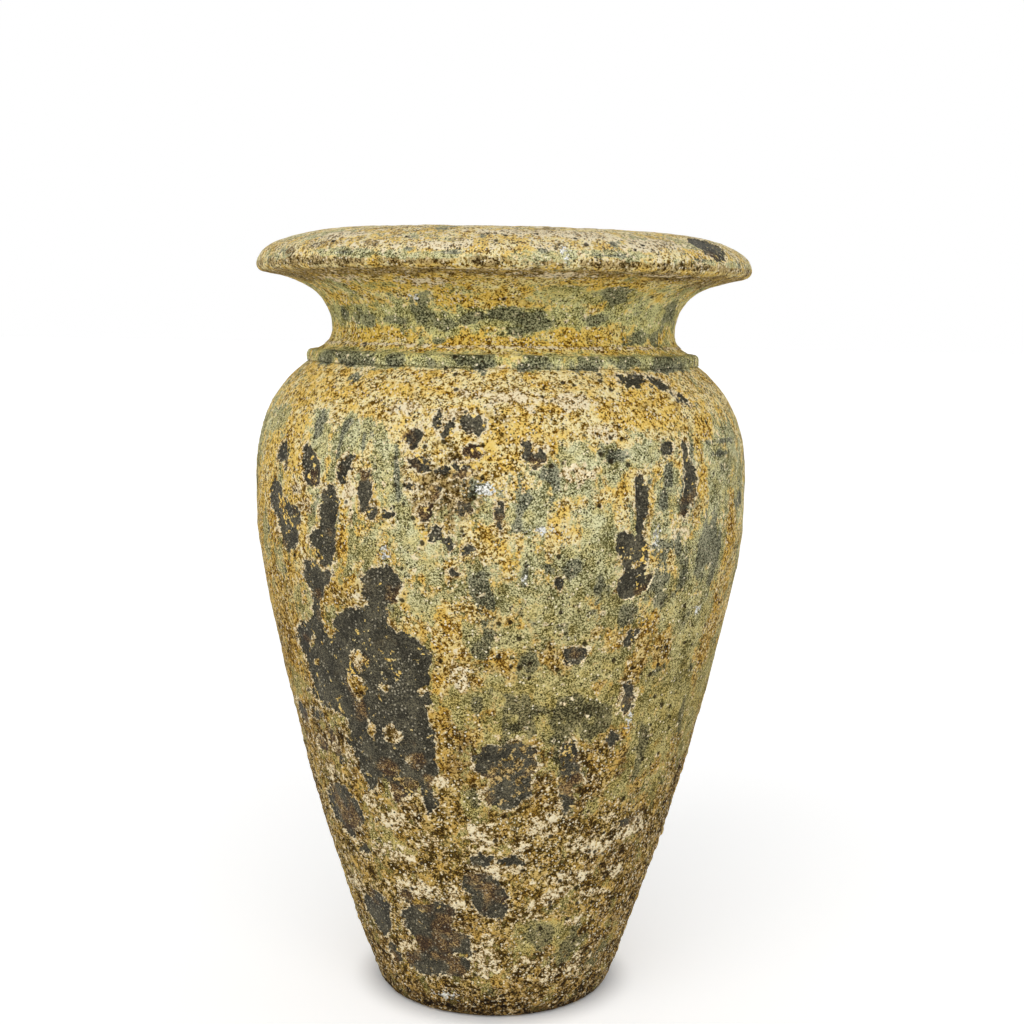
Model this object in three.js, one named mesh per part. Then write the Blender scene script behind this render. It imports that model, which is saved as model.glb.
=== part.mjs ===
// Stoneware vase: seven formed rings, each luted into a V-groove in the ring below.
// Millimetres, +Z up, origin at the centre of the standing ring.
import * as THREE from "three";

// Heights of the rings on the outside, from the ground up
const floorHeight = 30;
const lowerWallHeight = 220;
const middleWallHeight = 250;
const shoulderHeight = 169;
const collarHeight = 12;
const neckHeight = 41;
const rimHeight = 78;

// Radii of the outside
const standingRadius = 115;
const bellyRadius = 256;
const shoulderTopRadius = 203;
const neckRadius = 179;
const rimRadius = 256;
const crownRadius = 190;

// Thickness of the wall, and the hollow under the floor
const wall = 20;
const standingRingWidth = 30;
const hollowDepth = 4;
const hollowDraft = 5;
const cornerFillet = 18;

// Foot and body: slope of the wall where it leaves the foot, and how full the curves are
const footRound = 10;
const footSlope = 69;
const footReach = 220;
const bellyReachBelow = 36;
const bellyReachAbove = 67;
const shoulderSlope = 141;
const shoulderReach = 79.5;

// Collar and neck: the waist is the narrowest height of the neck
const collarStep = 2;
const collarRound = 5.5;
const waistRise = 20;
const filletReachOut = 9.7;
const filletReachUp = 11.6;

// Rim: the edge hangs below the crown, with a small round under a broad dome
const edgeDrop = 33;
const edgeRound = 7.2;
const undersideSlope = 9.3;
const flareReachUp = 41;
const flareReachIn = 35;
const domeReachUp = 22;
const domeReachOut = 16;

// Throat: the inside from the shoulder to the crown
const throatReachIn = 30;
const throatReachUp = 12;
const mouthReachUp = 55;
const mouthReachIn = 18;

// Joint between two rings: a V-tongue in a V-groove, with a bed of slip between them
const tongueWidth = 9;
const tongueDepth = 5;
const slipBed = 0.4;

// Facets: around the vase, and along each kind of line
const facetsAround = 48;
const wallSteps = 5;
const bendSteps = 6;
const roundSteps = 4;

// Heights of the joints and of the main points
const floorTop = floorHeight;
const lowerTop = floorTop + lowerWallHeight;
const bellyLevel = lowerTop + middleWallHeight;
const shoulderTop = bellyLevel + shoulderHeight;
const collarTop = shoulderTop + collarHeight;
const waistLevel = collarTop + waistRise;
const neckTop = collarTop + neckHeight;
const crownLevel = neckTop + rimHeight;
const edgeLevel = crownLevel - edgeDrop;

const point = (radius, height) => new THREE.Vector2(radius, height);

// A point at a distance from another, in a direction in degrees from level outwards
function toward(from, degrees, distance) {
  const angle = THREE.MathUtils.degToRad(degrees);
  return point(from.x + distance * Math.cos(angle), from.y + distance * Math.sin(angle));
}

// A line of the section is a function from 0..1 to a point
function bend(start, startHandle, endHandle, end) {
  const curve = new THREE.CubicBezierCurve(start, startHandle, endHandle, end);
  return (t) => curve.getPoint(t);
}

function arc(centre, radius, fromDegrees, toDegrees) {
  return (t) => toward(centre, fromDegrees + (toDegrees - fromDegrees) * t, radius);
}

// The line that lies a distance to the left of a rising line, which is inside the wall
function inset(line, distance) {
  const nudge = 1e-4;
  return (t) => {
    const along = line(Math.min(t + nudge, 1)).sub(line(Math.max(t - nudge, 0))).normalize();
    return line(t).add(point(-along.y, along.x).multiplyScalar(distance));
  };
}

// Where a rising line crosses a height, found by halving
function crossing(line, height) {
  let low = 0;
  let high = 1;
  for (let halving = 0; halving < 40; halving += 1) {
    const middle = (low + high) / 2;
    if (line(middle).y < height) low = middle;
    else high = middle;
  }
  return high;
}

function sample(line, steps, from = 0, to = 1) {
  return Array.from({ length: steps + 1 }, (_, i) => line(from + ((to - from) * i) / steps));
}

// The stretch of a rising line between two heights, with its ends on those heights
function stretch(line, bottom, top, steps) {
  const points = sample(line, steps, crossing(line, bottom), crossing(line, top));
  points[0].y = bottom;
  points[steps].y = top;
  return points;
}

// Lines of the outside
const footCentre = point(standingRadius, footRound);
const footLine = arc(footCentre, footRound, -90, footSlope - 90);
const footEdge = footLine(1);
const belly = point(bellyRadius, bellyLevel);
const wallLine = bend(
  footEdge,
  toward(footEdge, footSlope, footReach),
  point(bellyRadius, bellyLevel - bellyReachBelow),
  belly,
);
const shoulderEdge = point(shoulderTopRadius, shoulderTop);
const shoulderLine = bend(
  belly,
  point(bellyRadius, bellyLevel + bellyReachAbove),
  toward(shoulderEdge, shoulderSlope, -shoulderReach),
  shoulderEdge,
);
const collarRadius = shoulderTopRadius + collarStep;
const collarEdge = Math.min(collarRound, collarHeight - slipBed);
const collarCentre = point(collarRadius - collarEdge, collarTop - collarEdge);
const collarLine = arc(collarCentre, collarEdge, 0, 90);
const neckFoot = collarLine(1);
const waist = point(neckRadius, waistLevel);
const neckLine = bend(
  neckFoot,
  point(neckFoot.x - filletReachOut, neckFoot.y),
  point(neckRadius, waistLevel - filletReachUp),
  waist,
);
const edgeCentre = point(rimRadius - edgeRound, edgeLevel);
const edgeLine = arc(edgeCentre, edgeRound, undersideSlope - 90, 0);
const flareLine = bend(
  waist,
  point(neckRadius, waistLevel + flareReachUp),
  toward(edgeLine(0), undersideSlope, -flareReachIn),
  edgeLine(0),
);
const crown = point(crownRadius, crownLevel);
const domeLine = bend(
  edgeLine(1),
  point(rimRadius, edgeLevel + domeReachUp),
  point(crownRadius + domeReachOut, crownLevel),
  crown,
);

// Lines of the inside
const innerWallLine = inset(wallLine, wall);
const innerShoulderLine = inset(shoulderLine, wall);
const throatFoot = innerShoulderLine(1);
const throat = point(neckRadius - wall, waistLevel);
const throatLine = bend(
  throatFoot,
  toward(throatFoot, shoulderSlope, throatReachIn),
  point(throat.x, waistLevel - throatReachUp),
  throat,
);
const mouthLine = bend(
  throat,
  point(throat.x, waistLevel + mouthReachUp),
  point(crownRadius - mouthReachIn, crownLevel),
  crown,
);

// A joint lies at the top of the lower ring, in the middle of the wall there
function joint(level, outerLine, innerLine) {
  const outer = outerLine(crossing(outerLine, level));
  const inner = innerLine(crossing(innerLine, level));
  return { level, middle: (outer.x + inner.x) / 2 };
}

const floorJoint = joint(floorTop, wallLine, innerWallLine);
const lowerJoint = joint(lowerTop, wallLine, innerWallLine);
const bellyJoint = joint(bellyLevel, wallLine, innerWallLine);
const shoulderJoint = joint(shoulderTop, shoulderLine, throatLine);
const collarJoint = joint(collarTop, neckLine, throatLine);
const neckJoint = joint(neckTop, flareLine, mouthLine);

// The V-groove in the top of a ring, from the outside inwards
function groove({ level, middle }) {
  return [
    point(middle + tongueWidth / 2, level),
    point(middle, level - tongueDepth),
    point(middle - tongueWidth / 2, level),
  ];
}

// The V-tongue under the ring that stands in that groove, from the inside outwards
const tongue = (below) => groove({ ...below, level: below.level + slipBed }).reverse();

// One closed solid of revolution from its section
function revolve(name, section, color, roughness) {
  const geometry = new THREE.LatheGeometry(section, facetsAround);
  geometry.rotateX(Math.PI / 2);
  const material = new THREE.MeshStandardMaterial({ color, roughness, metalness: 0 });
  const mesh = new THREE.Mesh(geometry, material);
  mesh.name = name;
  return mesh;
}

// A ring with both joints: its outside upwards, its groove, its inside downwards, its tongue
function ring(name, outer, inner, below, above, color, roughness) {
  const section = [...outer, ...groove(above), ...inner.toReversed(), ...tongue(below)];
  return revolve(name, [...section, outer[0].clone()], color, roughness);
}

function floorSlab() {
  const outer = [...sample(footLine, roundSteps), ...stretch(wallLine, footEdge.y, floorTop, 1).slice(1)];
  const hollowEdge = standingRadius - standingRingWidth;
  const section = [
    point(0, hollowDepth),
    point(hollowEdge - hollowDraft, hollowDepth),
    point(hollowEdge, 0),
    ...outer,
    ...groove(floorJoint),
    point(0, floorTop),
  ];
  return revolve("floor_slab", section, 0x6f6138, 0.92);
}

// The lower wall spreads inside into a fillet that runs out on the floor
function lowerWall() {
  const bottom = floorTop + slipBed;
  const outer = stretch(wallLine, bottom, lowerTop, wallSteps);
  const corner = innerWallLine(crossing(innerWallLine, bottom));
  const inner = stretch(innerWallLine, bottom + cornerFillet, lowerTop, wallSteps);
  const fillet = new THREE.QuadraticBezierCurve(inner[0], corner, point(corner.x - cornerFillet, bottom));
  const section = [
    ...outer,
    ...groove(lowerJoint),
    ...inner.toReversed(),
    ...fillet.getPoints(roundSteps).slice(1),
    ...tongue(floorJoint),
    outer[0].clone(),
  ];
  return revolve("lower_wall", section, 0x85743f, 0.92);
}

function middleWall() {
  const outer = stretch(wallLine, lowerTop + slipBed, bellyLevel, wallSteps);
  const inner = stretch(innerWallLine, lowerTop + slipBed, bellyLevel, wallSteps);
  return ring("middle_wall", outer, inner, lowerJoint, bellyJoint, 0x8b835a, 0.88);
}

function shoulder() {
  const outer = stretch(shoulderLine, bellyLevel + slipBed, shoulderTop, bendSteps);
  const lower = stretch(innerShoulderLine, bellyLevel + slipBed, throatFoot.y, bendSteps);
  const upper = stretch(throatLine, throatFoot.y, shoulderTop, 2);
  const inner = [...lower, ...upper.slice(1)];
  return ring("shoulder", outer, inner, bellyJoint, shoulderJoint, 0xa3935d, 0.9);
}

function collarRing() {
  const bottom = shoulderTop + slipBed;
  const outer = [point(collarRadius, bottom), ...sample(collarLine, roundSteps)];
  const inner = stretch(throatLine, bottom, collarTop, 2);
  return ring("collar_ring", outer, inner, shoulderJoint, collarJoint, 0x6c6f58, 0.88);
}

function neck() {
  const bottom = collarTop + slipBed;
  const fillet = stretch(neckLine, bottom, waistLevel, bendSteps);
  const flare = stretch(flareLine, waistLevel, neckTop, 2);
  const lower = stretch(throatLine, bottom, waistLevel, 2);
  const upper = stretch(mouthLine, waistLevel, neckTop, 2);
  const outer = [...fillet, ...flare.slice(1)];
  const inner = [...lower, ...upper.slice(1)];
  return ring("neck", outer, inner, collarJoint, neckJoint, 0x8a8058, 0.88);
}

// The rim has a joint only below: its outside runs over the edge and the crown into the mouth
function rim() {
  const bottom = neckTop + slipBed;
  const outer = stretch(flareLine, bottom, edgeLine(0).y, bendSteps);
  const inner = stretch(mouthLine, bottom, crownLevel, bendSteps);
  const section = [
    ...outer,
    ...sample(edgeLine, roundSteps).slice(1),
    ...sample(domeLine, bendSteps).slice(1, -1),
    ...inner.toReversed(),
    ...tongue(neckJoint),
    outer[0].clone(),
  ];
  return revolve("rim", section, 0x9c8856, 0.9);
}

const vase = new THREE.Group();
vase.add(floorSlab(), lowerWall(), middleWall(), shoulder(), collarRing(), neck(), rim());

export default vase;
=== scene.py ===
# Weathered stoneware vase: a crusted skin for each of the seven rings of the frame.
import math
import random
from collections import namedtuple

import bmesh
import bpy
import numpy as np
from mathutils import Matrix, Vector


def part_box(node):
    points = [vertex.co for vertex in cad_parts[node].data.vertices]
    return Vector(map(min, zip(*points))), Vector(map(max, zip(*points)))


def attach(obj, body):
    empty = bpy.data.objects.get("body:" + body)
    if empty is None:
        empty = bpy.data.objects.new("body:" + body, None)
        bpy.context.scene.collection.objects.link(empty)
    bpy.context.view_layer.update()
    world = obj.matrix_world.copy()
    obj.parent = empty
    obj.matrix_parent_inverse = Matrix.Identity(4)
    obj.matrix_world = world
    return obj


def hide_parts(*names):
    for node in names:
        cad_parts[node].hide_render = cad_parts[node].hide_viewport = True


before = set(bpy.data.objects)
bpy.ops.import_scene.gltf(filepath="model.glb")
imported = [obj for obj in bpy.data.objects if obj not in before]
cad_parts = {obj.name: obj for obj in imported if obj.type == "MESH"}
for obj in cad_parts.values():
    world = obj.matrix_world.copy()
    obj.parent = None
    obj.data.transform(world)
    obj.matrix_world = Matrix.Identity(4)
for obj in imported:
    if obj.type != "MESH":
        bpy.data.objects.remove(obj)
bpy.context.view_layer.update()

# Lengths are in millimetres until a mesh, lamp or camera is made
MM = 0.001


# Sizes of the section


def top_of(node):
    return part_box(node)[1].z / MM


def radius_of(node):
    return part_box(node)[1].x / MM


FLOOR_TOP = top_of("floor_slab")
LOWER_TOP = top_of("lower_wall")
BELLY_LEVEL = top_of("middle_wall")
SHOULDER_TOP = top_of("shoulder")
COLLAR_TOP = top_of("collar_ring")
NECK_TOP = top_of("neck")
CROWN_LEVEL = top_of("rim")

BELLY_RADIUS = radius_of("middle_wall")
COLLAR_RADIUS = radius_of("collar_ring")
RIM_RADIUS = radius_of("rim")
STANDING_RADIUS = 115
NECK_RADIUS = 179
CROWN_RADIUS = 190
COLLAR_STEP = 2
SHOULDER_RADIUS = COLLAR_RADIUS - COLLAR_STEP

WALL = 20
HOLLOW_RADIUS = 85
HOLLOW_DEPTH = 4
HOLLOW_DRAFT = 5
CORNER_FILLET = 18
FILLET_END_SHARE = 1.3
FILLET_CORNER_SHARE = 0.35
FOOT_ROUND = 10
FOOT_SLOPE = 69
SHOULDER_SLOPE = 141
COLLAR_ROUND = 5.5
WAIST_RISE = 20
WAIST_LEVEL = COLLAR_TOP + WAIST_RISE
EDGE_DROP = 33
EDGE_LEVEL = CROWN_LEVEL - EDGE_DROP
EDGE_ROUND = 7.2
UNDERSIDE_SLOPE = 9.3

# Directions in the section, in degrees from outward
UPWARD = 90
INWARD = 180
DOWNWARD = -90

# How far a curve keeps the slope of the end that is named
FOOT_REACH = 220
BELLY_REACH_DOWN = 36
BELLY_REACH_UP = 67
SHOULDER_REACH = 79.5
NECK_FOOT_REACH = 9.7
WAIST_REACH_DOWN = 11.6
WAIST_REACH_UP = 41
UNDERSIDE_REACH = 35
EDGE_REACH = 22
CROWN_REACH_OUT = 16
CROWN_REACH_IN = 18
THROAT_REACH_UP = 55
THROAT_REACH_DOWN = 12
GULLET_REACH = 30

# Meshes: columns around, heights of rows, and how the bake map is laid out
COLUMNS = 800
FINE_ROW = 2.25
MOUTH_ROW = 4
INSIDE_ROW = 12
MOUTH_SHOWS = 60
INSIDE_MAP_SHARE = 0.3
MAP_MARGIN = 0.01
AXIS_REACH = 1e-6


# The section as one line: from under the floor, up the outside, over the rim and down the inside


def toward(start, degrees, distance):
    angle = math.radians(degrees)
    return np.array(start) + distance * np.array([math.cos(angle), math.sin(angle)])


def straight(start, end, steps=40):
    return np.linspace(start, end, steps + 1)


def arc(centre, radius, from_degrees, to_degrees, steps=40):
    angles = np.linspace(from_degrees, to_degrees, steps + 1)
    return np.array([toward(centre, angle, radius) for angle in angles])


def bend(start, start_handle, end_handle, end, steps=240):
    t = np.linspace(0, 1, steps + 1)[:, None]
    start, start_handle, end_handle, end = map(np.array, (start, start_handle, end_handle, end))
    ends = (1 - t) ** 3 * start + t**3 * end
    return ends + 3 * (1 - t) * t * ((1 - t) * start_handle + t * end_handle)


def sweep(start, start_slope, start_reach, end, end_slope, end_reach):
    """A bend that leaves one point and arrives at another at slopes in degrees."""
    start_handle = toward(start, start_slope, start_reach)
    return bend(start, start_handle, toward(end, end_slope, -end_reach), end)


def normals_of(line):
    along = np.gradient(line, axis=0)
    along /= np.linalg.norm(along, axis=1)[:, None]
    return np.stack([along[:, 1], -along[:, 0]], axis=1)


def inset(line, distance):
    return line - distance * normals_of(line)


def section_lines():
    """The named stretches of the section, in order, each a list of (radius, height)."""
    foot = arc((STANDING_RADIUS, FOOT_ROUND), FOOT_ROUND, -90, FOOT_SLOPE - 90)
    belly = (BELLY_RADIUS, BELLY_LEVEL)
    wall = sweep(foot[-1], FOOT_SLOPE, FOOT_REACH, belly, UPWARD, BELLY_REACH_DOWN)
    shoulder_edge = (SHOULDER_RADIUS, SHOULDER_TOP)
    shoulder = sweep(belly, UPWARD, BELLY_REACH_UP, shoulder_edge, SHOULDER_SLOPE, SHOULDER_REACH)
    collar_round = arc((COLLAR_RADIUS - COLLAR_ROUND, COLLAR_TOP - COLLAR_ROUND), COLLAR_ROUND, 0, 90)
    waist = (NECK_RADIUS, WAIST_LEVEL)
    neck = sweep(collar_round[-1], INWARD, NECK_FOOT_REACH, waist, UPWARD, WAIST_REACH_DOWN)
    edge = arc((RIM_RADIUS - EDGE_ROUND, EDGE_LEVEL), EDGE_ROUND, UNDERSIDE_SLOPE - 90, 0)
    flare = sweep(waist, UPWARD, WAIST_REACH_UP, edge[0], UNDERSIDE_SLOPE, UNDERSIDE_REACH)
    crown = (CROWN_RADIUS, CROWN_LEVEL)
    dome = sweep(edge[-1], UPWARD, EDGE_REACH, crown, INWARD, CROWN_REACH_OUT)
    throat = (NECK_RADIUS - WALL, WAIST_LEVEL)
    mouth = sweep(crown, INWARD, CROWN_REACH_IN, throat, DOWNWARD, THROAT_REACH_UP)
    inner_shoulder = inset(shoulder, WALL)[::-1]
    throat_foot = inner_shoulder[0]
    gullet = sweep(throat, DOWNWARD, THROAT_REACH_DOWN, throat_foot, SHOULDER_SLOPE - 180, GULLET_REACH)
    inner_wall = inset(wall, WALL)[::-1]
    inner_wall = inner_wall[inner_wall[:, 1] >= FLOOR_TOP + CORNER_FILLET]
    fillet_end = (inner_wall[-1][0] - CORNER_FILLET * FILLET_END_SHARE, FLOOR_TOP)
    corner = (inner_wall[-1][0] - CORNER_FILLET * FILLET_CORNER_SHARE, FLOOR_TOP)
    return {
        "under": straight((0, HOLLOW_DEPTH), (HOLLOW_RADIUS - HOLLOW_DRAFT, HOLLOW_DEPTH)),
        "draft": straight((HOLLOW_RADIUS - HOLLOW_DRAFT, HOLLOW_DEPTH), (HOLLOW_RADIUS, 0)),
        "standing": straight((HOLLOW_RADIUS, 0), foot[0]),
        "foot": foot,
        "wall": wall,
        "shoulder": shoulder,
        "collar_step": straight(shoulder_edge, (COLLAR_RADIUS, SHOULDER_TOP)),
        "collar": straight((COLLAR_RADIUS, SHOULDER_TOP), collar_round[0]),
        "collar_round": collar_round,
        "neck": neck,
        "flare": flare,
        "edge": edge,
        "dome": dome,
        "mouth": mouth,
        "gullet": gullet,
        "inner_shoulder": inner_shoulder,
        "inner_wall": inner_wall,
        "fillet": bend(inner_wall[-1], corner, corner, fillet_end),
        "floor": straight(fillet_end, (0, FLOOR_TOP)),
    }


def run_along(line):
    """The distance run along a line, at each of its points."""
    return np.concatenate([[0], np.cumsum(np.linalg.norm(np.diff(line, axis=0), axis=1))])


class Section:
    """The whole line with the distance run along it, and where each stretch begins and ends."""

    def __init__(self, lines):
        self.lines = lines
        self.begin, self.end = {}, {}
        total = 0.0
        for name, line in lines.items():
            self.begin[name] = total
            total += run_along(line)[-1]
            self.end[name] = total
        first, *others = lines.values()
        self.points = np.concatenate([first, *(line[1:] for line in others)])
        self.run = run_along(self.points)
        self.normals = normals_of(self.points)

    def crossing(self, name, level):
        """The distance run where a named stretch crosses a height."""
        line = self.lines[name]
        order = np.argsort(line[:, 1])
        return self.begin[name] + np.interp(level, line[order, 1], run_along(line)[order])

    def at(self, runs):
        """Points and outward normals at distances along the line."""
        points = np.stack([np.interp(runs, self.run, self.points[:, k]) for k in (0, 1)], axis=1)
        normals = np.stack([np.interp(runs, self.run, self.normals[:, k]) for k in (0, 1)], axis=1)
        return points, normals / np.linalg.norm(normals, axis=1)[:, None]


section = Section(section_lines())
CROWN_RUN = section.end["dome"]
EDGE_RUN = section.end["edge"]

# Where each joint cuts the outside and the inside
START_CUT = (0, section.end["floor"])
FLOOR_CUT = (section.crossing("wall", FLOOR_TOP), section.begin["floor"])
LOWER_CUT = (section.crossing("wall", LOWER_TOP), section.crossing("inner_wall", LOWER_TOP))
BELLY_CUT = (section.begin["shoulder"], section.begin["inner_wall"])
SHOULDER_CUT = (section.begin["collar_step"], section.crossing("gullet", SHOULDER_TOP))
COLLAR_CUT = (section.begin["neck"], section.crossing("gullet", COLLAR_TOP))
NECK_CUT = (section.crossing("flare", NECK_TOP), section.crossing("mouth", NECK_TOP))

# Each ring lies between the joint below it and the joint above it; the rim closes over the crown
RINGS = {
    "floor_slab": (START_CUT, FLOOR_CUT),
    "lower_wall": (FLOOR_CUT, LOWER_CUT),
    "middle_wall": (LOWER_CUT, BELLY_CUT),
    "shoulder": (BELLY_CUT, SHOULDER_CUT),
    "collar_ring": (SHOULDER_CUT, COLLAR_CUT),
    "neck": (COLLAR_CUT, NECK_CUT),
    "rim": (NECK_CUT, None),
}
RINGS_ABOVE_COLLAR = ("neck", "rim")


# Weathering, listed where it shows and scattered behind. Azimuth 0 faces the camera and grows
# to the right. A patch is a spot (azimuth in degrees, level, half size across, half size up, tilt) or
# an outline, a list of corners (azimuth, level). On the body the level is the height

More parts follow.
